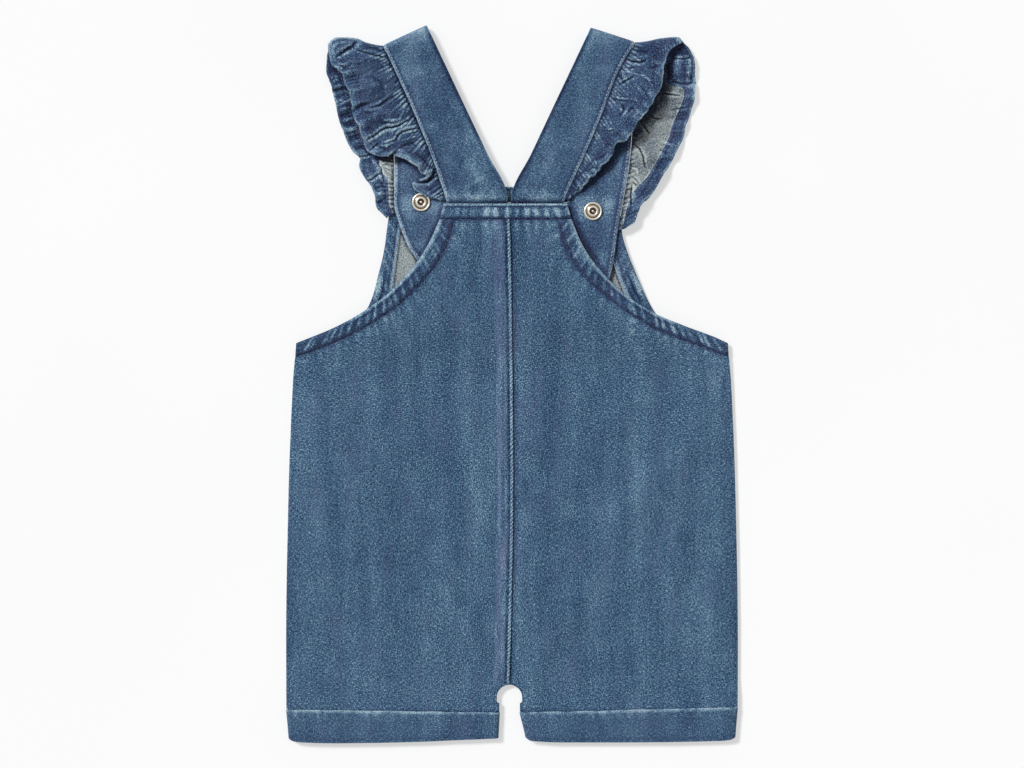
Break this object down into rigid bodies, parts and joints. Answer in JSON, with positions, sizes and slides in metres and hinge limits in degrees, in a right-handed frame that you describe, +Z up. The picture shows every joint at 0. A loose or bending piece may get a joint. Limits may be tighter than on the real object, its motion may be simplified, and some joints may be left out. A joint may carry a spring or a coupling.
{
  "type": "kids dungarees",
  "caption": "Short denim dungarees for a small child, with frilled straps and turned-up cuffs, laid flat on their front.",
  "frame": {"origin": "on the surface the garment lies on, under the middle of its bounding box", "axes": "+Y from the leg hems to the shoulders, +X to the wearer's right, +Z up out of the garment's back"},
  "size_m": [0.282, 0.4476, 0.0149],
  "materials": {
    "denim": "washed mid-blue twill, matt",
    "snap_metal": "aged silver-brass, satin"
  },
  "bodies": {
    "root": {"back_armhole_hem_left": "denim", "back_armhole_hem_right": "denim", "back_neck_hem": "denim", "back_panel_left": "denim", "back_panel_right": "denim", "cuff_left": "denim", "cuff_right": "denim", "frill_left_back": "denim", "frill_left_front": "denim", "frill_right_back": "denim", "frill_right_front": "denim", "front_armhole_hem_left": "denim", "front_armhole_hem_right": "denim", "front_neck_hem": "denim", "front_panel_left": "denim", "front_panel_right": "denim", "snap_cap_left": "snap_metal", "snap_cap_right": "snap_metal", "snap_ring_left": "snap_metal", "snap_ring_right": "snap_metal", "strap_left_back": "denim", "strap_left_front": "denim", "strap_right_back": "denim", "strap_right_front": "denim"}
  },
  "joints": []
}
